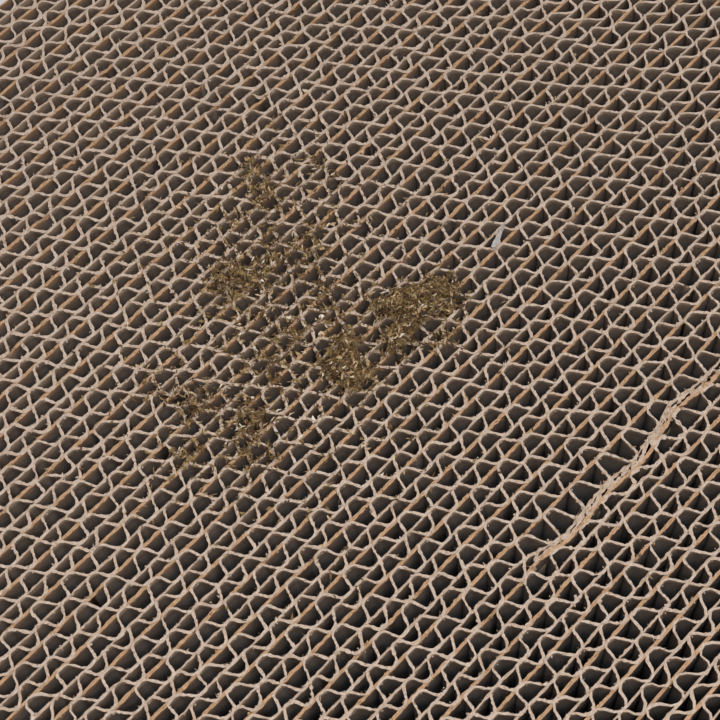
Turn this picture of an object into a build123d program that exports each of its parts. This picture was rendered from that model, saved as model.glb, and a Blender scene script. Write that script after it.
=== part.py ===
"""A flat, reversible cat scratcher pad.

Strips of double-wall corrugated board stand on edge and are glued face to face, so that the open
ends of the flutes are the scratching surface. Each strip is five papers: a kraft liner, the small
B flute, a middle liner, the large C flute and a second kraft liner. Dried catnip lies on top.

The frame: +X along the strips, +Y across them, +Z up. The origin is the middle of the underside.
"""

import math
import os
import random

from build123d import *

# The pad, in millimetres
PAD_LENGTH = 430.0  # along the strips, X
PAD_HEIGHT = 45.0  # the height that the strips are cut to, Z
STRIP_COUNT = 36  # strips side by side, Y

# The papers of one strip. A flute's height is the clear gap between the liners that hold it.
KRAFT_PAPER = 0.22
MIDDLE_PAPER = 0.20
B_PAPER = 0.22
B_HEIGHT = 2.46
B_PITCH = 6.30
C_PAPER = 0.20
C_HEIGHT = 2.96
C_PITCH = 7.25

# The glue that holds one strip to the next
GLUE_FILM = 0.05
GLUE_BEAD_HEIGHT = 5.0
GLUE_BEAD_COUNT = 3

# Catnip: dried leaf flakes that lie on the cut edges of the liners
FLAKE_THICKNESS = 0.15
FLAKE_REACH = (0.5, 1.3)  # least and greatest distance from a flake's middle to its corners
FLAKE_CORNERS = (5, 6, 7)
FLAKE_GAP = 0.1  # least clear space between two flakes
# Each patch: middle along X and Y, spread along X and Y, number of flakes
CATNIP_PATCHES = (
    (-2.0, -8.5, 4.5, 5.0, 64),
    (17.0, -9.5, 7.0, 4.0, 70),
    (-4.5, 21.5, 5.0, 4.5, 40),
    (-26.0, 2.0, 6.0, 8.0, 40),
    (10.0, 23.5, 9.0, 7.0, 36),
    (-3.0, 6.0, 12.0, 8.0, 40),
)

SEED = 1843
CLIP = 0.01  # a wave's arc shorter than this at a strip's end is left out

STRIP_THICKNESS = 2 * KRAFT_PAPER + MIDDLE_PAPER + B_HEIGHT + C_HEIGHT
STRIP_STEP = STRIP_THICKNESS + GLUE_FILM
PAD_WIDTH = STRIP_COUNT * STRIP_STEP - GLUE_FILM

OUT = "parts"


def strip_face(index):
    """Y of the low face of a strip, counted from 0."""
    return -PAD_WIDTH / 2 + index * STRIP_STEP


def layer_faces(index):
    """Y of the low face of each paper's space in a strip, from its low side to its high side."""
    low_liner = strip_face(index)
    b_flute = low_liner + KRAFT_PAPER
    middle_liner = b_flute + B_HEIGHT
    c_flute = middle_liner + MIDDLE_PAPER
    high_liner = c_flute + C_HEIGHT
    return low_liner, b_flute, middle_liner, c_flute, high_liner


def standing_sheet(low_y, thickness):
    """A flat paper that stands on edge along the whole strip."""
    middle = (0, low_y + thickness / 2, PAD_HEIGHT / 2)
    return Pos(*middle) * Box(PAD_LENGTH, thickness, PAD_HEIGHT)


def wave_side(low_y, height, pitch, paper, phase, side):
    """One side of a fluted paper as edges from end to end of the strip.

    The wave is arcs that meet at its inflections, one to each half pitch. side is +1 for the face
    towards +Y and -1 for the other. On a crest the +Y face is the outer one, so its arc is wider.
    """
    half_pitch = pitch / 2
    rise = (height - paper) / 2
    radius = half_pitch**2 / (8 * rise) + rise / 2
    lean = math.asin(half_pitch / 2 / radius)
    middle_y = low_y + height / 2
    end = PAD_LENGTH / 2
    first = math.floor((-end - phase) / half_pitch) - 1
    last = math.ceil((end - phase) / half_pitch) + 1
    edges = []
    for count in range(first, last + 1):
        crest = 1 if count % 2 == 0 else -1
        centre_x = phase + (count + 0.5) * half_pitch
        centre_y = middle_y + crest * (rise - radius)
        reach = radius + crest * side * paper / 2
        start_x = max(centre_x - reach * math.sin(lean), -end)
        stop_x = min(centre_x + reach * math.sin(lean), end)
        if stop_x - start_x < CLIP:
            continue
        points = []
        for x in (start_x, (start_x + stop_x) / 2, stop_x):
            points.append((x, centre_y + crest * math.sqrt(reach**2 - (x - centre_x) ** 2), 0))
        edges.append(Edge.make_three_point_arc(*points))
    return edges


def fluted_sheet(low_y, height, pitch, paper, phase):
    """A fluted paper between two liners, with its crests against both."""
    high_side = wave_side(low_y, height, pitch, paper, phase, 1)
    low_side = wave_side(low_y, height, pitch, paper, phase, -1)
    left_end = Edge.make_line(low_side[0] @ 0, high_side[0] @ 0)
    right_end = Edge.make_line(high_side[-1] @ 1, low_side[-1] @ 1)
    section = Face(Wire(high_side + [right_end] + low_side + [left_end]))
    return Solid.extrude(section, Vector(0, 0, PAD_HEIGHT))


def strip(index, chance):
    """One strip of double-wall board: five papers, each its own solid."""
    low_liner, b_flute, middle_liner, c_flute, high_liner = layer_faces(index)
    papers = {
        "low_kraft_liner": standing_sheet(low_liner, KRAFT_PAPER),
        "b_flute": fluted_sheet(b_flute, B_HEIGHT, B_PITCH, B_PAPER, chance.uniform(0, B_PITCH)),
        "middle_liner": standing_sheet(middle_liner, MIDDLE_PAPER),
        "c_flute": fluted_sheet(c_flute, C_HEIGHT, C_PITCH, C_PAPER, chance.uniform(0, C_PITCH)),
        "high_kraft_liner": standing_sheet(high_liner, KRAFT_PAPER),
    }
    for name, paper in papers.items():
        paper.label = name
    return Compound(label=f"strip_{index + 1:02d}", children=list(papers.values()))


def glue_lines():
    """Beads of glue, pressed flat between each strip and the next."""
    beads = []
    for index in range(1, STRIP_COUNT):
        film_y = strip_face(index) - GLUE_FILM / 2
        for bead in range(GLUE_BEAD_COUNT):
            bead_z = PAD_HEIGHT * (bead + 0.5) / GLUE_BEAD_COUNT
            beads.append(Pos(0, film_y, bead_z) * Box(PAD_LENGTH, GLUE_FILM, GLUE_BEAD_HEIGHT))
    return Compound(beads)


def liner_middles():
    """Y of the middle of every liner in the pad."""
    middles = []
    for index in range(STRIP_COUNT):
        low_liner, _, middle_liner, _, high_liner = layer_faces(index)
        middles.append(low_liner + KRAFT_PAPER / 2)
        middles.append(middle_liner + MIDDLE_PAPER / 2)
        middles.append(high_liner + KRAFT_PAPER / 2)
    return middles


def flake(x, y, reach, corners, chance):
    """One leaf flake: a thin plate with uneven corners, flat on the cut edge under its middle."""
    turn = chance.uniform(0, 2 * math.pi)
    outline = []
    for corner in range(corners):
        angle = turn + 2 * math.pi * corner / corners
        distance = reach * chance.uniform(0.65, 1.0)
        outline.append((x + distance * math.cos(angle), y + distance * math.sin(angle), PAD_HEIGHT))
    section = Face(Wire.make_polygon([Vector(*point) for point in outline], close=True))
    return Solid.extrude(section, Vector(0, 0, FLAKE_THICKNESS))


def catnip(chance):
    """Flakes in patches, each on the nearest liner's edge and clear of the flakes before it."""
    middles = liner_middles()
    placed = []
    flakes = []
    for patch_x, patch_y, spread_x, spread_y, wanted in CATNIP_PATCHES:
        tries = 0
        made = 0
        while made < wanted and tries < 40 * wanted:
            tries += 1
            reach = chance.uniform(*FLAKE_REACH)
            x = chance.gauss(patch_x, spread_x)
            wished_y = chance.gauss(patch_y, spread_y)
            y = min(middles, key=lambda middle: abs(middle - wished_y))
            if any(math.dist((x, y), (a, b)) < reach + other + FLAKE_GAP for a, b, other in placed):
                continue
            flakes.append(flake(x, y, reach, chance.choice(FLAKE_CORNERS), chance))
            placed.append((x, y, reach))
            made += 1
    return Compound(flakes)


def main():
    os.makedirs(OUT, exist_ok=True)
    flute_chance = random.Random(SEED)
    for index in range(STRIP_COUNT):
        board = strip(index, flute_chance)
        export_step(board, f"{OUT}/{board.label}.step", write_pcurves=False)
    export_step(glue_lines(), f"{OUT}/glue_lines.step", write_pcurves=False)
    export_step(catnip(random.Random(SEED)), f"{OUT}/catnip_flakes.step", write_pcurves=False)
    print(f"pad {PAD_LENGTH:.1f} x {PAD_WIDTH:.1f} x {PAD_HEIGHT:.1f} mm, strip {STRIP_THICKNESS:.2f} mm")


main()
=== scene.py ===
# %% [markdown]
# # A cardboard cat scratcher
#
# A flat scratcher pad is a stack of corrugated strips that stand on edge, so a cat's claws meet the
# open ends of the flutes. Seen close, it is all paper: pale torn edges, tan walls that fall away
# into dark cells, and crumbs of dried catnip. This script builds those papers one by one, frays
# their cut edges, and drops the catnip on them. All sizes are in millimetres until a vertex is made.

import math
import random

import bmesh
import bpy
import numpy as np
from mathutils import Matrix, Quaternion, Vector, noise


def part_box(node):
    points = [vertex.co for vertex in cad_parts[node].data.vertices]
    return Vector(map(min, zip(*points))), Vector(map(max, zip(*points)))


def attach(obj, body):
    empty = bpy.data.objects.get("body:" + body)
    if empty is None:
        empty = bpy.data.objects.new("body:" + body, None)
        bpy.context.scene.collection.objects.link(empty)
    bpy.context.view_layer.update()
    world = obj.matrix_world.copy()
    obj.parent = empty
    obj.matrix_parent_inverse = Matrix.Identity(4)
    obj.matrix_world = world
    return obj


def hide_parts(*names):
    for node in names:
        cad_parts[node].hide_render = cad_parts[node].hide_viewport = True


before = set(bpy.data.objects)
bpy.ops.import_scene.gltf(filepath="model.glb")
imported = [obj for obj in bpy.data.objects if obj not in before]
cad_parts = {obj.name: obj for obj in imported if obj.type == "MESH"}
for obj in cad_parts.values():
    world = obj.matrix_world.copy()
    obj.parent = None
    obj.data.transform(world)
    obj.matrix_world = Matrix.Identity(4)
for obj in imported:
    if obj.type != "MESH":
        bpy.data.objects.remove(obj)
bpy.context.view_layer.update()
STRIP_NODES = sorted(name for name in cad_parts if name.startswith("strip_"))
print("strips in the frame:", len(STRIP_NODES))

# %% [markdown]
# ## Sizes
#
# The papers have the sizes of trade double-wall board. Where each strip stands is read from the
# frame, so the looks stay on the CAD model. The flutes start at the same chance places as there.

# %% Sizes in millimetres
MM = 0.001
KRAFT_PAPER, MIDDLE_PAPER, B_PAPER, C_PAPER = 0.22, 0.20, 0.22, 0.20
B_HEIGHT, B_PITCH = 2.46, 6.30
C_HEIGHT, C_PITCH = 2.96, 7.25
SEED = 1843

first_low, first_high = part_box(STRIP_NODES[0])
PAD_HEIGHT = round(first_high.z / MM, 3)
HALF_LENGTH = round(first_high.x / MM, 3)
STRIP_LOW = [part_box(name)[0].y / MM for name in STRIP_NODES]
STRIP_THICKNESS = (first_high.y - first_low.y) / MM
print(f"pad {2 * HALF_LENGTH:.0f} mm long, {PAD_HEIGHT:.0f} mm high, strip {STRIP_THICKNESS:.2f} mm")

# %% [markdown]
# ## Colours and materials
#
# Paper is dull and a little blotchy: short fibres lie mostly along the machine direction, which is
# also the length of a strip. A cut edge is paler and rougher than the wall under it, because the
# blade tears the fibres loose. So every paper gets a wall material and an edge material.


# %% Helpers for materials
def colour(hex_code):
    """A colour written as sRGB hex, as the linear RGBA that the shaders use."""
    values = [int(hex_code[place:place + 2], 16) / 255 for place in (0, 2, 4)]
    linear = [v / 12.92 if v <= 0.04045 else ((v + 0.055) / 1.055) ** 2.4 for v in values]
    return (*linear, 1.0)


def add_node(tree, kind, settings=None, links=None):
    """Adds a node. settings sets its properties and inputs, and links joins its inputs to sockets."""
    node = tree.nodes.new(kind)
    for name, value in (settings or {}).items():
        if isinstance(name, int) or name in node.inputs:
            node.inputs[name].default_value = value
        else:
            setattr(node, name, value)
    for name, socket in (links or {}).items():
        tree.links.new(socket, node.inputs[name])
    return node


def start_material(name, roughness, specular):
    """A new material, its node tree and its shader, which is set to this finish."""
    material = bpy.data.materials.new(name)
    material.use_nodes = True
    shader = material.node_tree.nodes["Principled BSDF"]
    shader.inputs["Roughness"].default_value = roughness
    shader.inputs["Specular IOR Level"].default_value = specular
    return material, material.node_tree, shader


def fill_ramp(ramp, stops):
    """Gives a colour ramp its stops, which are (position, sRGB hex)."""
    elements = ramp.color_ramp.elements
    while len(elements) < len(stops):
        elements.new(0.5)
    for element, (position, _) in zip(elements, stops):
        element.position = position
    for element, (_, code) in zip(elements, stops):
        element.color = colour(code)


# %% How paper is shaded
PAPER_SPECULAR = 0.2  # paper has next to no gloss
FIBRE_STRETCH = (0.35, 1.0, 1.0)  # fibres lie along X
CLOUD_SHARE = 0.6  # how much the clouds count beside the fibres
DARKEST, LIGHTEST = 0.55, 1.0  # the mixture of the two at the ends of the colour ramp
RELIEF = 0.1  # mm that fibres stand up
LIT_LIP_DEPTH = 2.2  # mm under a cut edge where the wall is painted paler, as painted light where its top catches the light
PAINTED_DEEP_SHADE = "7d7b7a"  # painted shade: the walls lose their warm tone to this grey between the next two depths in mm
SHADE_FROM, SHADE_TO = 2.0, 7.0


def painted_light_and_shade_by_depth(tree, place, tone, lit_lip, lit_lip_depth):
    """A wall's tone with painted light in a pale lip under the nearest cut edge and painted shade in a
    greyer part further in.
    """
    spot = add_node(tree, "ShaderNodeSeparateXYZ", None, {"Vector": place})
    height = spot.outputs["Z"]
    from_top = {"operation": "SUBTRACT", 0: PAD_HEIGHT * MM}
    below = add_node(tree, "ShaderNodeMath", from_top, {1: height}).outputs["Value"]
    upright = add_node(tree, "ShaderNodeMath", {"operation": "MINIMUM"}, {0: height, 1: below})
    along = add_node(tree, "ShaderNodeMath", {"operation": "ABSOLUTE"}, {0: spot.outputs["X"]})
    from_end = {"operation": "SUBTRACT", 0: HALF_LENGTH * MM}
    inside = add_node(tree, "ShaderNodeMath", from_end, {1: along.outputs["Value"]})
    both = {0: upright.outputs["Value"], 1: inside.outputs["Value"]}
    depth = add_node(tree, "ShaderNodeMath", {"operation": "MINIMUM"}, both).outputs["Value"]
    # painted shade: the wall turns greyer with depth into the cell
    shade_range = {"From Min": SHADE_FROM * MM, "From Max": SHADE_TO * MM}
    shade_share = add_node(tree, "ShaderNodeMapRange", shade_range, {"Value": depth}).outputs["Result"]
    shade_mix = {"data_type": "RGBA", 7: colour(PAINTED_DEEP_SHADE)}
    wall = add_node(tree, "ShaderNodeMix", shade_mix, {0: shade_share, 6: tone}).outputs[2]
    # painted light: a paler lip just under the cut edge
    lit_lip_range = {"From Max": lit_lip_depth * MM, "To Min": 1.0, "To Max": 0.0}
    paler = add_node(tree, "ShaderNodeMapRange", lit_lip_range, {"Value": depth}).outputs["Result"]
    pale = {"data_type": "RGBA", 7: colour(lit_lip)}
    return add_node(tree, "ShaderNodeMix", pale, {0: paler, 6: wall}).outputs[2]


def colour_and_bump(tree, shader, tone, height, bump):
    """Links a shader's colour to a tone, and its relief to a height."""
    tree.links.new(tone, shader.inputs["Base Color"])
    bumps = {"Strength": bump, "Distance": RELIEF * MM}
    relief = add_node(tree, "ShaderNodeBump", bumps, {"Height": height})
    tree.links.new(relief.outputs["Normal"], shader.inputs["Normal"])


def paper_material(name, dark, light, finish, lit_lip=None, lit_lip_depth=LIT_LIP_DEPTH):
    """Blotchy fibrous paper. finish is the sizes of its clouds and fibres, roughness and bump.

    The lip colour is painted light on the wall just under the cut edges, and fades out over the lip's
    depth.
    """
    blotch, fibre, roughness, bump = finish
    material, tree, shader = start_material(name, roughness, PAPER_SPECULAR)
    place = add_node(tree, "ShaderNodeTexCoord").outputs["Object"]
    along = add_node(tree, "ShaderNodeMapping", {"Scale": FIBRE_STRETCH}, {"Vector": place})
    cloud_size = {"Scale": 1 / (blotch * MM), "Detail": 3.0}
    clouds = add_node(tree, "ShaderNodeTexNoise", cloud_size, {"Vector": place}).outputs["Fac"]
    fibre_size = {"Scale": 1 / (fibre * MM), "Detail": 2.0}
    stretched = {"Vector": along.outputs["Vector"]}
    fibres = add_node(tree, "ShaderNodeTexNoise", fibre_size, stretched).outputs["Fac"]
    mixture = {"operation": "MULTIPLY_ADD", 1: CLOUD_SHARE}
    share = add_node(tree, "ShaderNodeMath", mixture, {0: clouds, 2: fibres}).outputs["Value"]
    ramp = add_node(tree, "ShaderNodeValToRGB", None, {"Fac": share})
    fill_ramp(ramp, ((DARKEST, dark), (LIGHTEST, light)))
    tone = ramp.outputs["Color"]
    if lit_lip:
        tone = painted_light_and_shade_by_depth(tree, place, tone, lit_lip, lit_lip_depth)
    colour_and_bump(tree, shader, tone, fibres, bump)
    return material


# %% Paper materials
# Each finish: size of the clouds and of the fibres in mm, roughness, strength of the bump
WALL_FINISH = (5.0, 0.5, 0.85, 0.25)
KRAFT_FINISH = (6.0, 0.5, 0.85, 0.25)
EDGE_FINISH = (1.2, 0.25, 0.95, 0.6)
# mm of painted light, a paler lip, under the cut edges of the flutes and of the kraft
FLUTE_LIT_LIP, KRAFT_LIT_LIP = 1.4, 2.0

# Recycled fluting paper, rolled into waves: brown-grey and darkened as painted shade, so that the cells
# look deep; its lip is painted light
b_wall = paper_material("b_flute_paper", "6d5e52", "857263", WALL_FINISH, "b4987c", FLUTE_LIT_LIP)
c_wall = paper_material("c_flute_paper", "685a4e", "806e60", WALL_FINISH, "b2987d", FLUTE_LIT_LIP)
# Recycled liner inside the board: as dull, but paler as painted light for the light that comes through
# the thin liner, which sets it off from the waves; its lip is painted light too
middle_wall = paper_material("middle_liner", "837162", "9b8674", WALL_FINISH, "d0b294")
# Kraft liner of long unbleached fibres: an even warm tan outside; inside, the same paper is painted
# darker as painted shade, with a golden lip of painted light
kraft_outside = paper_material("kraft_liner_outside", "a5825f", "c9a47c", KRAFT_FINISH)
kraft_inside_shaded = paper_material("kraft_liner_inside_painted_shade", "7a6a5e", "917d6f", KRAFT_FINISH, "c49466", KRAFT_LIT_LIP)
# Cut edges, torn by the blade: pale, chalky and rough, golden on kraft and pinkish on the rest
kraft_edge = paper_material("kraft_liner_cut_edge", "a6825f", "c8a27f", EDGE_FINISH)
b_edge = paper_material("b_flute_cut_edge", "ad9680", "d0b9a4", EDGE_FINISH)
middle_edge = paper_material("middle_cut_edge", "a78f78", "c7af98", EDGE_FINISH)
c_edge = paper_material("c_flute_cut_edge", "b09a85", "d3beaa", EDGE_FINISH)

# Outer side, inner side and cut edge of each paper, in the order of the boards' material slots
PAPERS = {
    "kraft": (kraft_outside, kraft_inside_shaded, kraft_edge),
    "b_flute": (b_wall, b_wall, b_edge),
    "middle": (middle_wall, middle_wall, middle_edge),
    "c_flute": (c_wall, c_wall, c_edge),
}
SLOT_MATERIALS = [material for sides in PAPERS.values() for material in sides]
OUTER_SLOT = {name: len(sides) * place for place, (name, sides) in enumerate(PAPERS.items())}
print("paper materials:", len(set(SLOT_MATERIALS)))

# %% [markdown]
# ## Where the papers run
#
# A glued stack is never quite straight. The seam between two strips wanders a little, and the thin
# middle liner more. The flutes fill whatever room the liners leave them, so one set of functions
# says where the liners are, and the flutes are drawn between those.

# %% The liners' lines
# Each wander is how far a paper strays and over what length, in mm
SEAM_SWAY, SEAM_RIPPLE = (0.22, 24), (0.12, 5)
MIDDLE_SWAY, MIDDLE_RIPPLE = (0.12, 30), (0.28, 8)
WASHBOARD = 0.10  # the outer liners sink this far between the flute tips

CRUSHED_STRIP = 8
# Strip and place of the papers that it frees
CRUSHED_PAPERS = {(7, 3), (7, 4), (8, 0), (8, 1), (8, 2)}
CRUSH_ENDS = (-13.0, -4.0, 44.0, 58.0)  # along X: begins, flat from, flat to, ends
CRUSH_SHIFT, CRUSH_WANDER = 0.65, (2.2, 13)  # how its seam is pushed aside
CRUSH_RETURN, RETURN_FROM, RETURN_LENGTH = 0.9, 29, 13  # and how it comes back along X
CRUSHED_GAP, GAP_WANDER = 1.10, (0.7, 7)  # between the low and the middle liner there
# How far the seams near it give way
CRUSH_PULL = {5: 0.10, 6: 0.20, 7: 0.35, 9: -0.50, 10: -0.35, 11: -0.20, 12: -0.10}


def drift(x, length, key):
    """A smooth chance value from about -1 to 1 that changes over this length."""
    return noise.noise(Vector((x / length, key * 7.31, 0.37)))


def wander(x, key, how):
    """Chance straying, where how is its reach and its length in mm."""
    reach, length = how
    return reach * drift(x, length, key)


def smooth(value):
    """0 below 0, 1 above 1, and an S curve between."""
    value = min(max(value, 0.0), 1.0)
    return value * value * (3 - 2 * value)


def crush(x):
    """How far the crushed row is flattened at x, from 0 to 1."""
    begin, flat, ends_flat, end = CRUSH_ENDS
    return smooth((x - begin) / (flat - begin)) * smooth((end - x) / (end - ends_flat))


def seam(number, x):
    """Y shift of the seam under strip number, counted from 0. The pad's two sides count as seams."""
    if number in (0, len(STRIP_NODES)):
        pitch = B_PITCH if number == 0 else C_PITCH
        inward = 1 if number == 0 else -1
        return inward * WASHBOARD * (0.5 + 0.5 * math.cos(2 * math.pi * x / pitch))
    shift = wander(x, number, SEAM_SWAY) + wander(x, number + 0.5, SEAM_RIPPLE)
    if number == CRUSHED_STRIP:
        back = CRUSH_RETURN * smooth((x - RETURN_FROM) / RETURN_LENGTH)
        shift += (CRUSH_SHIFT + wander(x, 175, CRUSH_WANDER) - back) * crush(x)
    return shift + CRUSH_PULL.get(number, 0.0) * crush(x)


def liner_lines(strip, x):
    """Y of the middle of the low kraft, middle and high kraft liners of a strip at x."""
    low = STRIP_LOW[strip]
    low_kraft = low + KRAFT_PAPER / 2 + seam(strip, x)
    high_kraft = low + STRIP_THICKNESS - KRAFT_PAPER / 2 + seam(strip + 1, x)
    middle = low + KRAFT_PAPER + B_HEIGHT + MIDDLE_PAPER / 2
    middle += wander(x, 100 + strip, MIDDLE_RIPPLE) + wander(x, 150 + strip, MIDDLE_SWAY)
    if strip == CRUSHED_STRIP:
        middle += (low_kraft + CRUSHED_GAP + wander(x, 170, GAP_WANDER) - middle) * crush(x)
    return low_kraft, middle, high_kraft


# %% [markdown]
# ## The flutes
#
# A fluting roll presses the medium into waves with flat crests, round bends and straight flanks. On
# the pad the waves lean and bunch, because the stack was squeezed while the glue dried. The large C
# flute leans most, and in the crushed row the flutes have folded right over. One half wave is worked
# out for each flute and repeated. The papers in the middle of the pad get more points than the rest,
# because that is where the photograph looks.

# %% The flutes' lines
FINE_REACH = 88.0  # from the middle of the pad
FINE_BEND, PLAIN_BEND = 3, 1  # straight steps round each bend
FINE_FLANK = 4  # straight steps down each flank there
LEAN_LENGTH = 45  # mm over which the lean changes
CRUSH_LEAN, CRUSH_LEAN_WANDER = 1.5, (1.6, 9)  # how far the crushed waves have folded over
FLUTE_SWAY, FLUTE_RIPPLE = (0.5, 17), (0.35, 6)  # how the waves bunch
LINER_STEP, PLAIN_LINER_STEP, LAST_STEP = 0.7, 3.4, 0.3  # mm between the points of a liner
# Of each flute: pitch, height, paper, flank angle, radius of the bends, usual lean and its change
FLUTES = {
    "b_flute": (B_PITCH, B_HEIGHT, B_PAPER, 64, 1.10, 0.0, 0.2),
    "c_flute": (C_PITCH, C_HEIGHT, C_PAPER, 69, 1.00, -0.14, 0.4),
}


def fine(x, y):
    """True where the papers get more points."""
    return math.hypot(x, y) < FINE_REACH


def half_wave(pitch, depth, flank_angle, bend, steps):
    """(along, down) points from the flat of a crest to the flat of the next trough."""
    slope = math.radians(flank_angle)
    flank = (depth - 2 * bend * (1 - math.cos(slope))) / math.sin(slope)
    flat = pitch / 2 - 2 * bend * math.sin(slope) - flank * math.cos(slope)
    angles = [slope * step / steps for step in range(steps + 1)]
    first = [(flat / 2 + bend * math.sin(angle), bend * (1 - math.cos(angle))) for angle in angles]
    second = [(pitch / 2 - along, depth - down) for along, down in reversed(first)]
    (along, down), (next_along, next_down) = first[-1], second[0]
    shares = [step / FINE_FLANK for step in range(1, FINE_FLANK)] if steps == FINE_BEND else []
    step_along, step_down = next_along - along, next_down - down
    between = [(along + step_along * share, down + step_down * share) for share in shares]
    return first + between + second


def wave(strip, flute, phase):
    """The whole wave as (x, s) points. s goes from -1 at the low liner to 1 at the high one."""
    pitch, height, paper, flank_angle, bend, _, _ = FLUTES[flute]
    depth = height - paper
    kinds = (FINE_BEND, PLAIN_BEND)
    halves = {steps: half_wave(pitch, depth, flank_angle, bend, steps) for steps in kinds}
    reach = HALF_LENGTH + 2 * pitch
    first = math.floor((-reach - phase) / (pitch / 2))
    last = math.ceil((reach - phase) / (pitch / 2))
    points = []
    for count in range(first, last + 1):
        crest = 1 if count % 2 == 0 else -1
        begin = phase + (count + 0.5) * pitch / 2
        half = halves[FINE_BEND if fine(begin, STRIP_LOW[strip]) else PLAIN_BEND]
        points += [(begin + along, crest * (1 - 2 * down / depth)) for along, down in half]
    return points


def cut_to_length(points):
    """Cuts a line of (x, y, s) points off at the two ends of the pad."""
    line = []
    for (x0, y0, s0), (x1, y1, s1) in zip(points, points[1:]):
        for end in (-HALF_LENGTH, HALF_LENGTH):
            if x0 < end <= x1:
                share = (end - x0) / (x1 - x0)
                line.append((end, y0 + (y1 - y0) * share, s0 + (s1 - s0) * share))
        if -HALF_LENGTH < x1 < HALF_LENGTH and line:
            line.append((x1, y1, s1))
    return line


def flute_line(strip, flute, phase):
    """The middle line of one fluted paper of a strip, as (x, y, s) points."""
    _, height, paper, _, _, usual_lean, lean_change = FLUTES[flute]
    key = strip + (200 if flute == "b_flute" else 300)
    points = []
    for x, s in wave(strip, flute, phase):
        lean = usual_lean + lean_change * drift(x, LEAN_LENGTH, key)
        if strip == CRUSHED_STRIP and flute == "b_flute":
            lean += (CRUSH_LEAN + wander(x, 180, CRUSH_LEAN_WANDER)) * crush(x)
        place = x + lean * s * height / 2
        place = place + wander(x, key + 0.4, FLUTE_SWAY) + wander(x, key + 0.7, FLUTE_RIPPLE)
        low_kraft, middle, high_kraft = liner_lines(strip, place)
        if flute == "b_flute":
            low, high = low_kraft + KRAFT_PAPER / 2, middle - MIDDLE_PAPER / 2
        else:
            low, high = middle + MIDDLE_PAPER / 2, high_kraft - KRAFT_PAPER / 2
        low += paper / 2
        high -= paper / 2
        points.append((place, low + (high - low) * (s + 1) / 2, s))
    return cut_to_length(points)


def liner_line(strip, which):
    """The middle line of a flat paper: which is 0 for low kraft, 1 for middle and 2 for high kraft.

    Its points have an s of 0, because it is not pressed to either side.
    """
    line = []
    outside = (strip, which) in ((0, 0), (len(STRIP_NODES) - 1, 2))
    x = -HALF_LENGTH
    while x < HALF_LENGTH - LAST_STEP:
        line.append((x, liner_lines(strip, x)[which], 0.0))
        x += LINER_STEP if outside or fine(x, STRIP_LOW[strip]) else PLAIN_LINER_STEP
    line.append((HALF_LENGTH, liner_lines(strip, HALF_LENGTH)[which], 0.0))
    return line


def strip_papers(strip, chance):
    """The lines of a strip's five papers, from its low side to its high side."""
    b_phase = chance.uniform(0, B_PITCH)
    c_phase = chance.uniform(0, C_PITCH)
    return [
        ("kraft", liner_line(strip, 0)),
        ("b_flute", flute_line(strip, "b_flute", b_phase)),
        ("middle", liner_line(strip, 1)),
        ("c_flute", flute_line(strip, "c_flute", c_phase)),
        ("kraft", liner_line(strip, 2)),
    ]


flute_chance = random.Random(SEED)
all_papers = [strip_papers(strip, flute_chance) for strip in range(len(STRIP_NODES))]
print("points in the papers' lines:", sum(len(line) for papers in all_papers for _, line in papers))

# %% [markdown]
# ## Standing and fraying the papers
#
# Each line is extruded up in three steps to the height of the pad. The top and bottom rows are the
# cut edges: they are nicked, pushed about and swollen, and the rows next to them hold the wall
# straight. The kraft liners are hard and are cut clean. The soft flutes are drawn up by the blade,
# so their edges stand higher and spread over the liners. A Solidify modifier then gives the sheet
# its thickness, thicker at the swollen edge, and puts the edge material on the rim that it makes.

# %% How the cut edges fray
FRAY_DEPTH = 0.7
LEVELS = (0.0, FRAY_DEPTH, PAD_HEIGHT - FRAY_DEPTH, PAD_HEIGHT)
THICKNESS = {"kraft": KRAFT_PAPER, "b_flute": B_PAPER, "middle": MIDDLE_PAPER, "c_flute": C_PAPER}
EDGE_SWELL = {"kraft": 0.35, "b_flute": 0.49, "middle": 0.42, "c_flute": 0.46}
EDGE_DROP = {"kraft": 0.22, "b_flute": 0.0, "middle": 0.08, "c_flute": 0.0}
FLOOR_CLEAR = 0.22  # the lower edges stand this much higher, so that none pokes through the floor
SPREAD = 0.24  # how far a flute's edge spreads over the liner that it touches
FRAY_GRAIN = 0.9  # mm, the size of the roughness
NICK_DEPTH = 0.14
CHIP_DEPTH, CHIP_FROM = 1.5, 0.36  # a chip begins where its noise is above the last
EDGE_SLIP = 0.10  # how far an edge is pushed along its paper
EDGE_WAVER, EDGE_TREMBLE = 0.18, 0.09  # and across it
RAGGED_SLOW, RAGGED_QUICK = 0.6, 0.5  # the share of the swelling that comes and goes
WEAR, WEAR_FROM, WEAR_LENGTH = 0.16, -10, 50  # claws have swollen the edges more towards +Y
LOOSE_RAGGED, LOOSE_SWELL = 0.8, 0.10  # what a crushed row adds


def fray_key(x, y, inward):
    """Where the roughness at x, y is looked up. inward is -1 on top, 1 below."""
    return Vector((x / FRAY_GRAIN, y / FRAY_GRAIN, inward * 5.0))


def nick(x, y, inward):
    """How far the cut edge at x, y lies inside the pad's flat face."""
    key = fray_key(x, y, inward)
    chip = max(0.0, noise.noise(key * 0.31 + Vector((9.0, 0.0, 0.0))) - CHIP_FROM)
    return NICK_DEPTH * abs(noise.noise(key)) + CHIP_DEPTH * chip


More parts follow.
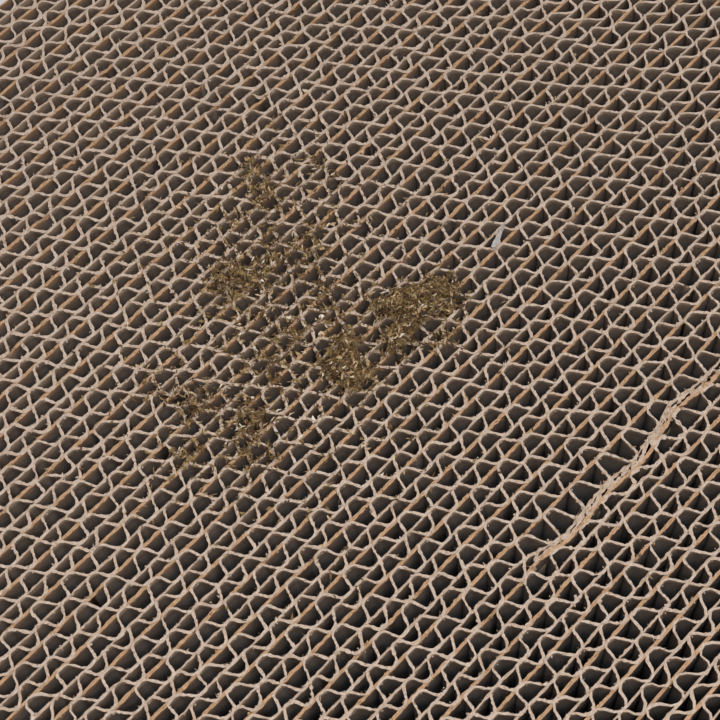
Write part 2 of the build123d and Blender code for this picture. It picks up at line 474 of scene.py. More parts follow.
def fray(vertex, paper, inward, s, loose):
    """Nicks and pushes one vertex of a cut edge, and returns how thick the paper is there.

    loose is 1 where the papers of a crushed row lie free of each other, and 0 elsewhere.
    """
    x, y, _ = vertex.co / MM
    key = fray_key(x, y, inward)
    vertex.co.z += inward * MM * (EDGE_DROP[paper] * (1 - loose) + nick(x, y, inward))
    vertex.co.z += MM * FLOOR_CLEAR if inward > 0 else 0.0
    vertex.co.x += MM * EDGE_SLIP * noise.noise(key + Vector((0.0, 31.0, 0.0)))
    waver = EDGE_WAVER * noise.noise(key * 1.6 + Vector((0.0, 0.0, 47.0)))
    waver += EDGE_TREMBLE * noise.noise(key * 4.1)
    vertex.co.y += MM * (waver + SPREAD * (1 - loose) * s**3)
    ragged = RAGGED_SLOW * noise.noise(key * 1.7) + RAGGED_QUICK * noise.noise(key * 3.7)
    wear = 1.0 + WEAR * smooth((y - WEAR_FROM) / WEAR_LENGTH)
    swell = wear * EDGE_SWELL[paper] * (1.0 + ragged * (1 + LOOSE_RAGGED * loose) + 0.2 * s**4)
    return swell * (1 + LOOSE_SWELL * loose)


# %% Papers as meshes
FULLEST = 1.10  # Solidify's thickness; a vertex weight of 1 means this much
SHARP_RIM = 55  # degrees between two faces from which their edge is shaded crisp


def stand_paper(bm, weights, pressed, paper, line, outer, crushed):
    """Extrudes a line of points up into a standing sheet. outer is 1 if its outer side faces +Y.

    Each vertex keeps its s in the layer pressed, and the extruded rows take it over.
    """
    bottom = []
    for x, y, s in line:
        vertex = bm.verts.new((x * MM, y * MM, 0.0))
        vertex[pressed] = s
        bottom.append(vertex)
    edges = [bm.edges.new(pair) for pair in zip(bottom, bottom[1:])]
    rows = [bottom]
    sheet = []
    for low, high in zip(LEVELS, LEVELS[1:]):
        made = bmesh.ops.extrude_edge_only(bm, edges=edges)["geom"]
        row = [item for item in made if isinstance(item, bmesh.types.BMVert)]
        bmesh.ops.translate(bm, verts=row, vec=(0.0, 0.0, (high - low) * MM))
        members = set(row)
        edges = [e for e in made if isinstance(e, bmesh.types.BMEdge) and members.issuperset(e.verts)]
        rows.append(row)
        sheet += [item for item in made if isinstance(item, bmesh.types.BMFace)]
    for face in sheet:
        face.material_index = OUTER_SLOT[paper]
        face.smooth = True
        face.normal_update()
    if outer * sum(face.normal.y for face in sheet) < 0:
        bmesh.ops.reverse_faces(bm, faces=sheet)
    for number, row in enumerate(rows):
        for vertex in row:
            thick = THICKNESS[paper]
            if number in (0, len(rows) - 1):
                loose = crush(vertex.co.x / MM) if crushed else 0.0
                thick = fray(vertex, paper, 1 if number == 0 else -1, vertex[pressed], loose)
            vertex[weights][0] = thick / FULLEST


def finished_mesh(name, bm):
    """A mesh of what the bmesh holds, which is then freed."""
    mesh = bpy.data.meshes.new(name)
    bm.to_mesh(mesh)
    bm.free()
    return mesh


def add_piece(name, mesh, materials):
    """Links a mesh to the scene as a piece with these materials."""
    for material in materials:
        mesh.materials.append(material)
    piece = bpy.data.objects.new(name, mesh)
    bpy.context.scene.collection.objects.link(piece)
    return piece


def settle_modifiers(piece, sharp_angle):
    """Applies a piece's modifiers and keeps the edges of its cut rim crisp."""
    bpy.context.view_layer.update()
    shape = piece.evaluated_get(bpy.context.evaluated_depsgraph_get())
    mesh = bpy.data.meshes.new_from_object(shape)
    piece.modifiers.clear()
    piece.vertex_groups.clear()
    old = piece.data
    piece.data = mesh
    bpy.data.meshes.remove(old)
    mesh.set_sharp_from_angle(angle=math.radians(sharp_angle))


def build_strip(strip):
    """One strip of double-wall board as one piece."""
    name = STRIP_NODES[strip].replace("strip", "board")
    bm = bmesh.new()
    weights = bm.verts.layers.deform.verify()
    pressed = bm.verts.layers.float.new("pressed")
    for place, (paper, line) in enumerate(all_papers[strip]):
        crushed = (strip, place) in CRUSHED_PAPERS
        stand_paper(bm, weights, pressed, paper, line, -1 if place == 0 else 1, crushed)
    bm.verts.layers.float.remove(pressed)
    board = add_piece(name, finished_mesh(name, bm), SLOT_MATERIALS)
    board.vertex_groups.new(name="thickness")
    solidify = board.modifiers.new("paper thickness", "SOLIDIFY")
    solidify.thickness = FULLEST * MM
    solidify.offset = 0.0
    solidify.vertex_group = "thickness"
    solidify.material_offset = 1
    solidify.material_offset_rim = 2
    settle_modifiers(board, SHARP_RIM)
    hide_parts(STRIP_NODES[strip])
    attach(board, "root")
    return board


boards = [build_strip(strip) for strip in range(len(STRIP_NODES))]
print("boards:", len(boards), "faces:", sum(len(board.data.polygons) for board in boards))

# %% [markdown]
# ## Scattering small things
#
# Fibres, chips and catnip are small shapes in their thousands. Hair or instances would draw them
# too, but the part is handed on as plain meshes. So a few shapes are modelled, each with a handful
# of faces, and copies of them are gathered into one mesh. Every copy keeps a chance value, its tint,
# which the material turns into a colour.

# %% Gathering copies
def gather(name, placings):
    """One mesh of many copies. placings are (shape, matrix, tint)."""
    whole = bmesh.new()
    mesh = bpy.data.meshes.new(name)
    tints = []
    for shape, matrix, tint in placings:
        one = shape.copy()
        one.transform(matrix)
        one.to_mesh(mesh)
        whole.from_mesh(mesh)
        tints += [tint] * len(one.verts)
        one.free()
    whole.to_mesh(mesh)
    whole.free()
    mesh.attributes.new("tint", "FLOAT", "POINT").data.foreach_set("value", tints)
    return mesh


def set_down(x, y, z, up, spin, size):
    """The matrix that lays a shape at x, y, z in mm with its Z along up, turned by spin."""
    tilt = Vector((0, 0, 1)).rotation_difference(Vector(up))
    turned = tilt @ Quaternion((0, 0, 1), spin)
    return Matrix.LocRotScale(Vector((x, y, z)) * MM, turned, Vector((size, size, size)) * MM)


CRUMB_SPECULAR = 0.3
BLOTCH_SHARE = 0.35  # how far blotches shift a copy's tint


def tint_material(name, stops, blotch, roughness, bump):
    """A matt material whose colour is each copy's tint on a ramp, broken up by small blotches."""
    material, tree, shader = start_material(name, roughness, CRUMB_SPECULAR)
    tint = add_node(tree, "ShaderNodeAttribute", {"attribute_name": "tint"}).outputs["Fac"]
    place = add_node(tree, "ShaderNodeTexCoord").outputs["Object"]
    blotch_size = {"Scale": 1 / (blotch * MM), "Detail": 2.0}
    blotches = add_node(tree, "ShaderNodeTexNoise", blotch_size, {"Vector": place}).outputs["Fac"]
    centred = add_node(tree, "ShaderNodeMath", {"operation": "SUBTRACT", 1: 0.5}, {0: blotches})
    mixture = {"operation": "MULTIPLY_ADD", 1: BLOTCH_SHARE}
    share = add_node(tree, "ShaderNodeMath", mixture, {0: centred.outputs["Value"], 2: tint})
    ramp = add_node(tree, "ShaderNodeValToRGB", None, {"Fac": share.outputs["Value"]})
    fill_ramp(ramp, stops)
    colour_and_bump(tree, shader, ramp.outputs["Color"], blotches, bump)
    return material


# %% [markdown]
# ## Torn fibres
#
# The blade leaves every edge ragged. Nubs of loosened fibre cling along the whole cut, and here and
# there the edge has come up in a tuft of strands and chips. A nub is a dented three-sided point, a
# strand is a triangle extruded along a bend, and a chip is an uneven plate with a crease.

# %% Nubs, strands and chips
def nub_shape(chance):
    """A tatter of fibre of reach 1."""
    bm = bmesh.new()
    bmesh.ops.create_cone(bm, cap_ends=True, segments=3, radius1=1.0, radius2=0.0, depth=1.1)
    for vertex in bm.verts:
        vertex.co.x *= chance.uniform(0.7, 1.4)
        vertex.co.y *= chance.uniform(0.5, 1.0)
        vertex.co += Vector([chance.uniform(-dent, dent) for dent in (0.3, 0.3, 0.2)])
    return bm


def strand_shape(chance, sections=2):
    """A tapered strand of length 1 that bends as it rises."""
    bm = bmesh.new()
    bmesh.ops.create_circle(bm, cap_ends=True, segments=3, radius=0.12)
    tip = bm.faces[:]
    heading = Vector((0.0, 0.0, 1.0))
    for _ in range(sections):
        made = bmesh.ops.extrude_face_region(bm, geom=tip)["geom"]
        ring = [item for item in made if isinstance(item, bmesh.types.BMVert)]
        tip = [item for item in made if isinstance(item, bmesh.types.BMFace)]
        bmesh.ops.translate(bm, verts=ring, vec=heading / sections)
        middle = sum((vertex.co for vertex in ring), Vector()) / len(ring)
        bmesh.ops.scale(bm, verts=ring, vec=(0.7, 0.7, 0.7), space=Matrix.Translation(-middle))
        hinge = (chance.uniform(-1, 1), chance.uniform(-1, 1), 0.0)
        heading.rotate(Quaternion(hinge, chance.uniform(0.2, 0.7)))
    bmesh.ops.recalc_face_normals(bm, faces=bm.faces)
    return bm


def plate_shape(chance, sides, width, curl, crease, thickness):
    """An uneven plate of reach 1, creased along its length and curled."""
    bm = bmesh.new()
    bmesh.ops.create_circle(bm, cap_ends=True, segments=sides, radius=1.0)
    for vertex in bm.verts:
        vertex.co *= chance.uniform(0.55, 1.1)
        vertex.co.y *= width
    bmesh.ops.poke(bm, faces=bm.faces)
    for vertex in bm.verts:
        vertex.co.z = curl * vertex.co.x**2 + crease * abs(vertex.co.y) + chance.uniform(-0.08, 0.08)
    bmesh.ops.solidify(bm, geom=bm.faces[:], thickness=thickness)
    bmesh.ops.recalc_face_normals(bm, faces=bm.faces)
    return bm


shape_chance = random.Random(SEED + 1)
NUBS = [nub_shape(shape_chance) for _ in range(8)]
STRANDS = [strand_shape(shape_chance) for _ in range(6)]
CHIPS = [
    plate_shape(
        shape_chance, sides=4, width=0.55, curl=shape_chance.uniform(-0.4, 0.5),
        crease=0.25, thickness=0.16,
    )
    for _ in range(6)
]
print("faces in a nub, strand and chip:", len(NUBS[0].faces), len(STRANDS[0].faces), len(CHIPS[0].faces))


# %% Spots along the cut edges
FLOOR_LIFT = 0.5  # mm that things on the underside lie clear of the floor
FULL_TURN = 6.28


def edge_spots(chance, spacing):
    """Chance places (x, y, paper) on the cut edges, one to each stretch of this length in mm."""
    for papers in all_papers:
        for paper, line in papers:
            points = np.array(line)[:, :2]
            run = np.concatenate(([0.0], np.cumsum(np.hypot(*np.diff(points, axis=0).T))))
            count = int(run[-1] / spacing)
            places = np.array([(number + chance.random()) * spacing for number in range(count)])
            across = np.interp(places, run, points[:, 0])
            up = np.interp(places, run, points[:, 1])
            for x, y in zip(across, up):
                yield float(x), float(y), paper


def edge_height(x, y, paper, inward):
    """Z of the cut edge there. Below, it is that of things which lie clear of the floor."""
    depth = EDGE_DROP[paper] + nick(x, y, inward)
    return PAD_HEIGHT - depth if inward < 0 else FLOOR_LIFT + depth


# %% Nubs and tufts along the edges
NUB_SIZE, NUB_RISE = (0.10, 0.27), 0.02
NUB_SIDE = 0.75  # how far from the middle of the swollen edge, as a share of the swelling
STRAND_LENGTH, STRANDS_IN_TUFT = (0.4, 0.95), (1, 2, 2, 3)
CHIP_SIZE, CHIPS_IN_TUFT = (0.22, 0.55), (1, 1, 2, 3)
TUFT_REACH, TUFT_SINK, CHIP_RISE = 0.4, 0.06, 0.08
NUB_KRAFT_TINT, TUFT_KRAFT_TINT = 0.4, 0.35  # low tints are golden, so kraft fibres stay below these


def nubs(chance, spacing, inward, keep):
    """Placings of nubs along the edges where keep(x, y) is true."""
    for x, y, paper in edge_spots(chance, spacing):
        size = chance.uniform(*NUB_SIZE)
        side = chance.uniform(-NUB_SIDE, NUB_SIDE) * EDGE_SWELL[paper]
        lean_x, lean_y = chance.uniform(-1.0, 1.0), chance.uniform(-1.0, 1.0)
        shape = chance.choice(NUBS)
        tint = chance.random() if paper != "kraft" else chance.uniform(0.0, NUB_KRAFT_TINT)
        if keep(x, y):
            z = edge_height(x, y, paper, inward) - inward * NUB_RISE
            up = (lean_x, lean_y, -inward)
            yield shape, set_down(x, y + side, z, up, FULL_TURN * tint, size), tint


def tufts(chance, spacing, inward, keep, pale=1.0):
    """Placings of tufts where keep(x, y) is true: a few strands and a chip or two, close together."""
    for x, y, paper in edge_spots(chance, spacing):
        if not keep(x, y):
            continue
        z = edge_height(x, y, paper, inward) + inward * TUFT_SINK
        golden = paper == "kraft"
        tint = chance.uniform(0.0, TUFT_KRAFT_TINT) if golden else pale * chance.uniform(0.3, 1.0)
        for _ in range(chance.choice(STRANDS_IN_TUFT)):
            turn = chance.uniform(0, 2 * math.pi)
            up = (math.cos(turn), math.sin(turn), chance.uniform(0.1, 0.6))
            shape = chance.choice(STRANDS)
            yield shape, set_down(x, y, z, up, turn, chance.uniform(*STRAND_LENGTH)), tint
        for _ in range(chance.choice(CHIPS_IN_TUFT)):
            side_x = chance.uniform(-TUFT_REACH, TUFT_REACH)
            side_y = chance.uniform(-TUFT_REACH, TUFT_REACH)
            up = (chance.uniform(-0.6, 0.6), chance.uniform(-0.6, 0.6), -inward)
            size = chance.uniform(*CHIP_SIZE)
            chip_z = z - inward * CHIP_RISE
            matrix = set_down(x + side_x, y + side_y, chip_z, up, chance.uniform(0, FULL_TURN), size)
            yield chance.choice(CHIPS), matrix, tint


# %% Where the fibres stand up
WORN_FROM, WORN_BORDER, WORN_PATCH = 12, 34, 7  # mm: where it begins along Y, and its ragged border
CRUSH_MIDDLE, CRUSH_HALF_WIDTH = 1.3, 1.4


def worn(x, y):
    """True in the part that claws have worked most, which has a ragged border."""
    border = WORN_BORDER * noise.noise(Vector((x / WORN_PATCH, y / WORN_PATCH, 8.0)))
    return fine(x, y) and y + border > WORN_FROM


def on_crush(x, y):
    """True on the crushed row."""
    return crush(x) > 0.3 and abs(y - STRIP_LOW[CRUSHED_STRIP] - CRUSH_MIDDLE) < CRUSH_HALF_WIDTH


def anywhere(x, y):
    """True on the whole pad."""
    return True


# Torn fibres scatter the light: pale and matt from the soft papers, golden from the kraft
TORN_COLOURS = ((0.0, "b28a58"), (0.3, "b0977c"), (0.6, "c3ab94"), (1.0, "d8c3ae"))
torn_paper = tint_material("torn_paper_fibre", TORN_COLOURS, 0.4, 0.95, 0.3)
fibre_chance = random.Random(SEED + 2)
fibre_sets = {
    "edge_nubs_middle": list(nubs(fibre_chance, 0.62, -1, fine)),
    "edge_nubs_outer": list(nubs(fibre_chance, 3.0, -1, lambda x, y: not fine(x, y))),
    "edge_nubs_underside": list(nubs(fibre_chance, 8.0, 1, anywhere)),
    "torn_tufts_worn": list(tufts(fibre_chance, 7.5, -1, worn)),
    "torn_tufts_top": list(tufts(fibre_chance, 48.0, -1, lambda x, y: not worn(x, y))),
    "torn_tufts_crushed": list(tufts(fibre_chance, 2.8, -1, on_crush, 0.45)),
    "torn_tufts_underside": list(tufts(fibre_chance, 160.0, 1, anywhere)),
}
for name, placings in fibre_sets.items():
    fibres = add_piece(name, gather(name, placings), [torn_paper])
    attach(fibres, "root")
    print(name, "copies:", len(placings), "faces:", len(fibres.data.polygons))

# %% [markdown]
# ## Glue
#
# Between two strips the glue was laid on in three beads and pressed flat. Each bead is a line of
# points along its seam, extruded up to a wavy outline, and a Solidify modifier gives it the thickness
# of the gap.

# %% Glue beads
BEAD_COUNT, BEAD_HEIGHT, BEAD_STEP = 3, 5.0, 10.0
BEAD_WANDER, BEAD_SWELL = (0.8, 13), (0.8, 11)
SHARP_BEAD = 40
GLUE_FILM = STRIP_LOW[1] - STRIP_LOW[0] - STRIP_THICKNESS


def glue_bead(bm, number, middle_z):
    """One pressed bead in the seam under a strip."""
    count = round(2 * HALF_LENGTH / BEAD_STEP)
    places = [-HALF_LENGTH + 2 * HALF_LENGTH * n / count for n in range(count + 1)]
    film_y = STRIP_LOW[number] - GLUE_FILM / 2
    lower = []
    for x in places:
        z = middle_z - BEAD_HEIGHT / 2 + wander(x, 600 + number + middle_z, BEAD_WANDER)
        lower.append(bm.verts.new((x * MM, (film_y + seam(number, x)) * MM, z * MM)))
    edges = [bm.edges.new(pair) for pair in zip(lower, lower[1:])]
    made = bmesh.ops.extrude_edge_only(bm, edges=edges)["geom"]
    for vertex in (item for item in made if isinstance(item, bmesh.types.BMVert)):
        swell = wander(vertex.co.x / MM, 700 + number + middle_z, BEAD_SWELL)
        vertex.co.z += (BEAD_HEIGHT + swell) * MM


glue_bm = bmesh.new()
for number in range(1, len(STRIP_NODES)):
    for bead in range(BEAD_COUNT):
        glue_bead(glue_bm, number, PAD_HEIGHT * (bead + 0.5) / BEAD_COUNT)
bmesh.ops.recalc_face_normals(glue_bm, faces=glue_bm.faces)
# White wood glue, pressed and dried: ivory, and smoother than the paper it has soaked into
GLUE_FINISH = (8.0, 1.5, 0.45, 0.2)
dried_glue = paper_material("dried_white_glue", "c9b795", "e0d4bb", GLUE_FINISH)
glue = add_piece("glue_beads", finished_mesh("glue_beads", glue_bm), [dried_glue])
film = glue.modifiers.new("film", "SOLIDIFY")
film.thickness = GLUE_FILM * MM
film.offset = 0.0
settle_modifiers(glue, SHARP_BEAD)
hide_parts("glue_lines")
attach(glue, "root")
print("glue beads:", BEAD_COUNT * (len(STRIP_NODES) - 1), "faces:", len(glue.data.polygons))

# %% [markdown]
# ## Catnip
#
# Dried catnip is rubbed to crumbs of leaf, bits of stalk and dust. Where it was heaped it plugs the
# cells and covers the edges, and further out it clings to the paper. A particle simulation could
# drop it, but a height map does it faster and gives the same heap each run: the map starts with the
# cut edges and with plugs of catnip in some cells, each crumb settles on what lies under it, and the
# map rises there for the next one.

# %% Where the catnip lies
# Each patch: X and Y of its middle, spread away from the viewer and across, and how thick it is
CATNIP_PATCHES = (
    (-1.0, -6.5, 3.2, 1.8, 1.4),
    (-6.0, -6.0, 1.6, 1.8, 0.6),
    (-3.5, -11.5, 1.8, 2.6, 0.8),
    (11.5, -4.0, 1.5, 2.2, 0.9),
    (15.5, -8.5, 2.5, 2.6, 1.4),
    (21.0, -11.0, 2.6, 2.3, 1.4),
    (11.0, -10.5, 2.0, 1.8, 0.8),
    (7.5, -11.5, 2.4, 1.8, 0.9),
    (14.5, -18.0, 1.8, 1.8, 0.35),
    (-4.5, 22.0, 2.6, 2.6, 0.7),
    (-1.5, 19.0, 1.8, 2.2, 0.5),
    (16.5, 38.0, 2.2, 1.4, 0.5),
    (14.5, 32.0, 3.0, 1.6, 0.55),
    (5.5, 32.0, 1.5, 1.5, 0.45),
    (25.5, 27.5, 2.2, 1.4, 0.22),
    (5.0, 20.0, 2.0, 2.6, 0.42),
    (11.5, 16.0, 3.0, 1.6, 0.36),
    (-4.5, 4.0, 2.4, 1.8, 0.5),
    (-12.5, 3.0, 1.8, 1.8, 0.36),
    (5.0, 4.5, 2.8, 1.5, 0.4),
    (-28.0, 7.5, 2.2, 2.4, 0.4),
    (-23.0, -3.0, 2.2, 1.8, 0.5),
    (-35.5, 1.0, 2.0, 2.0, 0.32),
    (-28.0, -8.0, 2.2, 2.0, 0.36),
    (-30.0, 16.0, 2.4, 3.0, 0.18),
    (-26.0, 0.0, 9.0, 7.0, 0.13),
    (6.0, 18.0, 16.0, 9.0, 0.14),
    (-4.0, 6.0, 22.0, 20.0, 0.07),
)
VIEW_SLANT = math.radians(45)  # the direction away from the viewer, from +X
MAP_LOW, MAP_HIGH = (-62.0, -50.0), (62.0, 62.0)
MAP_CELL = 0.25
DEEP = -50.0  # an open cell
PATCH_GRAIN, PATCH_STEP, PATCH_SHARE = 2.6, 4, 0.45  # how patchy the catnip lies
PLUG_FROM, PLUG_FULL = 0.62, 1.1  # how much of it begins to plug a cell, and fills it
PLUG_DROP, PLUG_SLOPE = 0.3, 2.5  # mm that a plug lies below the edges, full and less so
MAP_RIM, FALL_RIM = 2, 3  # mm inside the map's border

columns = np.arange(MAP_LOW[0], MAP_HIGH[0], MAP_CELL)
lines_up = np.arange(MAP_LOW[1], MAP_HIGH[1], MAP_CELL)
map_x, map_y = np.meshgrid(columns, lines_up, indexing="ij")
cover = np.zeros_like(map_x)
for x, y, spread_away, spread_across, amount in CATNIP_PATCHES:
    away = (map_x - x) * math.cos(VIEW_SLANT) + (map_y - y) * math.sin(VIEW_SLANT)
    across = (map_x - x) * math.sin(VIEW_SLANT) - (map_y - y) * math.cos(VIEW_SLANT)
    cover += amount * np.exp(-0.5 * ((away / spread_away) ** 2 + (across / spread_across) ** 2))


def patch_noise(x, y):
    """How much more or less catnip lies at x, y."""
    return noise.noise(Vector((x / PATCH_GRAIN, y / PATCH_GRAIN, 3.0)))


patchy = np.array([[patch_noise(x, y) for y in lines_up[::PATCH_STEP]] for x in columns[::PATCH_STEP]])
patchy = np.kron(patchy, np.ones((PATCH_STEP, PATCH_STEP)))[: len(columns), : len(lines_up)]
fill = cover + PATCH_SHARE * patchy


def map_place(x, y):
    """The map's cell at x, y."""
    return int((x - MAP_LOW[0]) / MAP_CELL), int((y - MAP_LOW[1]) / MAP_CELL)


def on_map(x, y):
    """True well inside the map."""
    inside_x = MAP_LOW[0] + MAP_RIM < x < MAP_HIGH[0] - MAP_RIM
    return inside_x and MAP_LOW[1] + MAP_RIM < y < MAP_HIGH[1] - MAP_RIM


plugs = -PLUG_DROP - PLUG_SLOPE * np.clip(PLUG_FULL - fill, 0, 1)
heights = np.where(fill > PLUG_FROM, plugs, DEEP)
edge_chance = random.Random(SEED + 3)
for x, y, paper in edge_spots(edge_chance, 0.12):
    if on_map(x, y):
        column, row = map_place(x, y)
        heights[column:column + 2, row:row + 2] = -EDGE_DROP[paper]
print("cells of the height map:", heights.size, "plugged or edge:", int((heights > DEEP).sum()))

# %% Leaf crumbs, slivers, stalks and grains
def sliver_shape(chance):
    """A sliver of leaf of reach 1: a long flat four-sided point, bent along its length."""
    bm = bmesh.new()
    bmesh.ops.create_cone(bm, cap_ends=True, segments=4, radius1=1.0, radius2=0.0, depth=0.3)
    width = chance.uniform(0.10, 0.46)
    bend = chance.uniform(-0.35, 0.35)
    for vertex in bm.verts:
        vertex.co *= chance.uniform(0.7, 1.1)
        vertex.co.y = vertex.co.y * width + bend * vertex.co.x**2
    return bm


crumb_chance = random.Random(SEED + 4)
LEAVES = [
    plate_shape(
        crumb_chance, sides=6, width=crumb_chance.uniform(0.3, 0.6), curl=crumb_chance.uniform(-0.5, 0.6),
        crease=crumb_chance.uniform(-0.4, 0.5), thickness=0.13,
    )
    for _ in range(8)
]
SLIVERS = [sliver_shape(crumb_chance) for _ in range(12)]
STALKS = [strand_shape(crumb_chance) for _ in range(5)]
GRAINS = [nub_shape(crumb_chance) for _ in range(6)]
print("faces in a leaf and a sliver:", len(LEAVES[0].faces), len(SLIVERS[0].faces))

# %% How the crumbs settle
REST_REACH = 0.8  # the share of a crumb that rests
RESTS_ON = 70  # the percentile of the heights under it that carries it
LOWEST_UNDER, PILE_STEP, PILE_UNDER = 0.6, 0.05, 0.5  # mm
LEAF_TO, SLIVER_TO, STALK_TO = 0.08, 0.70, 0.72  # the kinds' shares, added up; the rest are grains
CRUMB_SIZE = {"low": 0.22, "high": 1.20, "mode": 0.36}
GRAIN_SIZE, LEAF_SHARE = (0.07, 0.17), 0.8
STALK_LENGTH, STALK_TINT, STALK_RISE = (0.6, 1.6), 0.62, 0.1
CRUMB_TILT, CRUMB_TINT = 0.5, (1.0, 1.55)
CLING_SIZE, CLING_DEPTH, CLING_GAP, CLING_COVER = (0.10, 0.34), 3.0, 0.12, 1.3


def settle(x, y, reach):
    """Height and slope of what lies under a crumb, and raises the map there. None over an open cell."""
    column, row = map_place(x, y)
    wide = max(1, round(REST_REACH * reach / MAP_CELL))
    under = heights[column - wide:column + wide + 1, row - wide:row + wide + 1]
    level = float(np.percentile(under, RESTS_ON))
    if level < DEEP / 2:
        return None
    clipped = np.maximum(under, level - LOWEST_UNDER)
    slope_x = float(clipped[-1].mean() - clipped[0].mean()) / (2 * wide * MAP_CELL)
    slope_y = float(clipped[:, -1].mean() - clipped[:, 0].mean()) / (2 * wide * MAP_CELL)
    np.maximum(under, level + PILE_STEP, out=under, where=under > level - PILE_UNDER)
    return level, slope_x, slope_y


def fallen(chance, tries):
    """Placings of crumbs that fell on the pad and stayed on top."""
    for _ in range(tries):
        x = chance.uniform(MAP_LOW[0] + FALL_RIM, MAP_HIGH[0] - FALL_RIM)
        y = chance.uniform(MAP_LOW[1] + FALL_RIM, MAP_HIGH[1] - FALL_RIM)
        if chance.random() > cover[map_place(x, y)]:
            continue
        kind = chance.random()
        size = chance.triangular(**CRUMB_SIZE) if kind < STALK_TO else chance.uniform(*GRAIN_SIZE)
        under = settle(x, y, size)
        if under is None:
            continue
        level, slope_x, slope_y = under
        tilt_x, tilt_y = chance.gauss(0, CRUMB_TILT), chance.gauss(0, CRUMB_TILT)
        up = Vector((-slope_x + tilt_x, -slope_y + tilt_y, 1.0))
        spin = chance.uniform(0, 2 * math.pi)
        z = PAD_HEIGHT + level + PILE_STEP
        tint = chance.betavariate(*CRUMB_TINT)
        if kind < LEAF_TO:
            yield chance.choice(LEAVES), set_down(x, y, z, up, spin, LEAF_SHARE * size), tint
        elif kind < SLIVER_TO:
            yield chance.choice(SLIVERS), set_down(x, y, z, up, spin, size), tint
        elif kind < STALK_TO:
            lying = (math.cos(spin), math.sin(spin), chance.uniform(-0.1, 0.3))
            shape = chance.choice(STALKS)
            length = chance.uniform(*STALK_LENGTH)
            yield shape, set_down(x, y, z + STALK_RISE, lying, spin, length), STALK_TINT
        else:
            yield chance.choice(GRAINS), set_down(x, y, z, up, spin, size), tint


def clinging(chance, spacing):
    """Placings of crumbs that cling to the walls just under the edges."""
    for x, y, paper in edge_spots(chance, spacing):
        side = chance.choice((-1, 1)) * (THICKNESS[paper] / 2 + CLING_GAP)
        depth = chance.uniform(0.1, 1.0) ** 2 * CLING_DEPTH
        size = chance.uniform(*CLING_SIZE)
        tilt = chance.uniform(-0.5, 0.5)
        tint = chance.betavariate(*CRUMB_TINT)
        if on_map(x, y) and chance.random() < CLING_COVER * cover[map_place(x, y)]:
            up = (tilt, side * 3, 0.4)
            matrix = set_down(x, y + side, PAD_HEIGHT - depth, up, FULL_TURN * tint, size)
            yield chance.choice(SLIVERS + GRAINS), matrix, tint


# %% The catnip as one piece
# Dried leaf, rubbed to crumbs: matt olive browns, with straw-pale bits that catch the eye
CATNIP_COLOURS = (
    (0.0, "3a2816"), (0.22, "644a2d"), (0.42, "7e603b"), (0.56, "847142"),
    (0.66, "a48355"), (0.85, "cdaf85"), (1.0, "f3ead6"),
)
catnip_leaf = tint_material("dried_catnip_leaf", CATNIP_COLOURS, 0.35, 0.75, 0.4)
catnip_placings = list(fallen(crumb_chance, 300000)) + list(clinging(crumb_chance, 0.35))
catnip = add_piece("catnip_crumbs", gather("catnip_crumbs", catnip_placings), [catnip_leaf])
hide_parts("catnip_flakes")
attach(catnip, "root")
print("catnip crumbs:", len(catnip_placings), "faces:", len(catnip.data.polygons))

# %% [markdown]
# ## The torn shred
#
# One pale sliver of paper has been clawed off and lies across two rows. It is a strip of grid faces,
# widest near its blunt end, with a Solidify modifier for its thickness.

# %% Shred of paper
SHRED_PLACE, SHRED_TURN = (38.3, -10.6), 13.0
SHRED_LENGTH, SHRED_WIDTH, SHRED_PAPER = 6.2, 1.5, 0.12
SHARP_SHRED = 50

shred_bm = bmesh.new()
bmesh.ops.create_grid(shred_bm, x_segments=14, y_segments=2, size=0.5)
for vertex in shred_bm.verts:
    along, side = vertex.co.x, vertex.co.y
    share = along + 0.5
    taper = min(1.0, 0.4 + 2.5 * share) * (1.02 - share) ** 0.8
    bow = 0.25 * math.sin(4 * along) + 0.1 * noise.noise(Vector((along * 9, 0.0, 5.0)))
    lift = 0.25 + 0.6 * (1 - share) ** 4 + 0.5 * side * share
    vertex.co = Vector((along * SHRED_LENGTH, side * SHRED_WIDTH * taper + bow, lift))
place = Matrix.Translation((SHRED_PLACE[0], SHRED_PLACE[1], PAD_HEIGHT))
turned = place @ Matrix.Rotation(math.radians(SHRED_TURN), 4, "Z")
bmesh.ops.transform(shred_bm, matrix=Matrix.Scale(MM, 4) @ turned, verts=shred_bm.verts)
# The bleached inside of torn paper: cooler and paler than the rest, so it is seen at once
SHRED_FINISH = (2.0, 0.4, 0.9, 0.4)
pale_paper = paper_material("torn_pale_paper", "a39b95", "c2bbb4", SHRED_FINISH)
shred = add_piece("torn_shred", finished_mesh("torn_shred", shred_bm), [pale_paper])
thickness = shred.modifiers.new("paper thickness", "SOLIDIFY")
thickness.thickness = SHRED_PAPER * MM
settle_modifiers(shred, SHARP_SHRED)
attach(shred, "root")
print("shred faces:", len(shred.data.polygons))

# %% [markdown]
# ## Floor, light and camera
#
# The photograph looks down at the middle of the surface from close by, so the camera stands on one
# side of the pad, about sixty degrees above the horizon, with a long lens.

# %% The floor
BACKDROP = "e6e4e0"
FLOOR_HALF = 3.0  # m
FADE_FROM, FADE_TO = 0.4, 1.1  # m from the middle, between which the floor fades to the backdrop

floor_bm = bmesh.new()
bmesh.ops.create_grid(floor_bm, x_segments=1, y_segments=1, size=FLOOR_HALF)
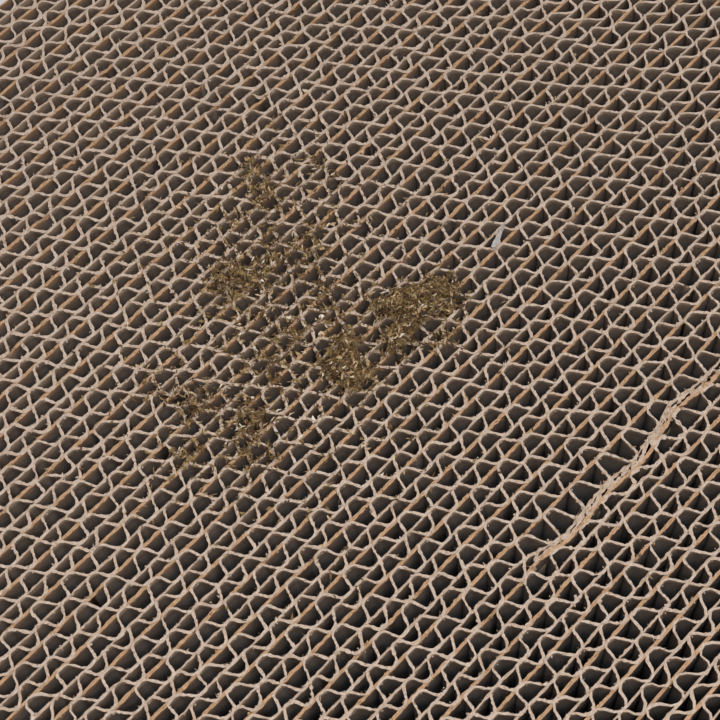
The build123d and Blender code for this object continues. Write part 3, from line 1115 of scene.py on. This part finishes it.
# Matt floor paint: plain and pale, so that it shows the pad's shadow and nothing else
floor_paint, paint_tree, paint = start_material("pale_floor", 0.8, 0.5)
paint.inputs["Base Color"].default_value = colour(BACKDROP)
place = add_node(paint_tree, "ShaderNodeTexCoord").outputs["Object"]
far = add_node(paint_tree, "ShaderNodeVectorMath", {"operation": "LENGTH"}, {0: place}).outputs["Value"]
fade_range = {"From Min": FADE_FROM, "From Max": FADE_TO}
fade = add_node(paint_tree, "ShaderNodeMapRange", fade_range, {"Value": far}).outputs["Result"]
to_camera = add_node(paint_tree, "ShaderNodeLightPath").outputs["Is Camera Ray"]
seen = add_node(paint_tree, "ShaderNodeMath", {"operation": "MULTIPLY"}, {0: fade, 1: to_camera})
glow = add_node(paint_tree, "ShaderNodeEmission", {"Color": colour(BACKDROP), "Strength": 1.0})
surfaces = {0: seen.outputs["Value"], 1: paint.outputs["BSDF"], 2: glow.outputs["Emission"]}
blend = add_node(paint_tree, "ShaderNodeMixShader", None, surfaces)
paint_tree.links.new(blend.outputs["Shader"], paint_tree.nodes["Material Output"].inputs["Surface"])
floor = add_piece("floor", finished_mesh("floor", floor_bm), [floor_paint])
print("floor:", 2 * FLOOR_HALF, "m wide")

# %% The light
AMBIENT, AMBIENT_STRENGTH = "d5e3ff", 0.32

world = bpy.data.worlds.new("studio")
bpy.context.scene.world = world
world.use_nodes = True
sky = world.node_tree
ambient = sky.nodes["Background"]
ambient.inputs["Color"].default_value = colour(AMBIENT)
ambient.inputs["Strength"].default_value = AMBIENT_STRENGTH
rays = add_node(sky, "ShaderNodeLightPath").outputs
shown = rays["Is Camera Ray"]
for ray in ("Is Glossy Ray", "Is Transmission Ray"):
    either = {"operation": "ADD", "use_clamp": True}
    shown = add_node(sky, "ShaderNodeMath", either, {0: shown, 1: rays[ray]}).outputs["Value"]
backdrop = add_node(sky, "ShaderNodeBackground", {"Color": colour(BACKDROP), "Strength": 1.0})
skies = {0: shown, 1: ambient.outputs["Background"], 2: backdrop.outputs["Background"]}
whole_sky = add_node(sky, "ShaderNodeMixShader", None, skies)
sky.links.new(whole_sky.outputs["Shader"], sky.nodes["World Output"].inputs["Surface"])


def soft_box(name, place, aim, size, power, tone):
    """A square soft light that points at a spot."""
    lamp = bpy.data.lights.new(name, "AREA")
    lamp.size = size
    lamp.energy = power
    lamp.color = colour(tone)[:3]
    light = bpy.data.objects.new(name, lamp)
    light.location = place
    light.rotation_euler = (Vector(aim) - Vector(place)).to_track_quat("-Z", "Y").to_euler()
    bpy.context.scene.collection.objects.link(light)


PAD_TOP = (0, 0, 0.04)
soft_box("key_light", (0.65, 0.76, 1.3), PAD_TOP, 0.6, 9.5, "fff8f0")
soft_box("fill_light", (-0.127, -0.157, 0.417), PAD_TOP, 0.2, 0.97, "ffffff")
soft_box("side_light", (0.06, -0.30, 0.50), PAD_TOP, 0.2, 0.30, "ffffff")
print("lamps:", len(bpy.data.lights))

# %% The camera
TARGET = (0.0, -9.13, PAD_HEIGHT)  # the middle of the photograph on the scratching surface
DISTANCE = 311.0
AZIMUTH, ELEVATION, ROLL = -40.67, 62.4, -6.37  # degrees
LENS = 81.3

turn, rise = math.radians(AZIMUTH), math.radians(ELEVATION)
back = Vector((math.sin(turn) * math.cos(rise), -math.cos(turn) * math.cos(rise), math.sin(rise)))
camera_data = bpy.data.cameras.new("camera")
camera_data.lens = LENS
camera_data.clip_start = 0.01
camera = bpy.data.objects.new("camera", camera_data)
camera.location = (Vector(TARGET) + back * DISTANCE) * MM
camera.rotation_mode = "QUATERNION"
camera.rotation_quaternion = (-back).to_track_quat("-Z", "Y") @ Quaternion((0, 0, 1), math.radians(ROLL))
bpy.context.scene.collection.objects.link(camera)
bpy.context.scene.camera = camera
print("camera:", DISTANCE, "mm from the surface,", ELEVATION, "degrees above it")
bpy.context.scene.view_settings.view_transform = "Standard"
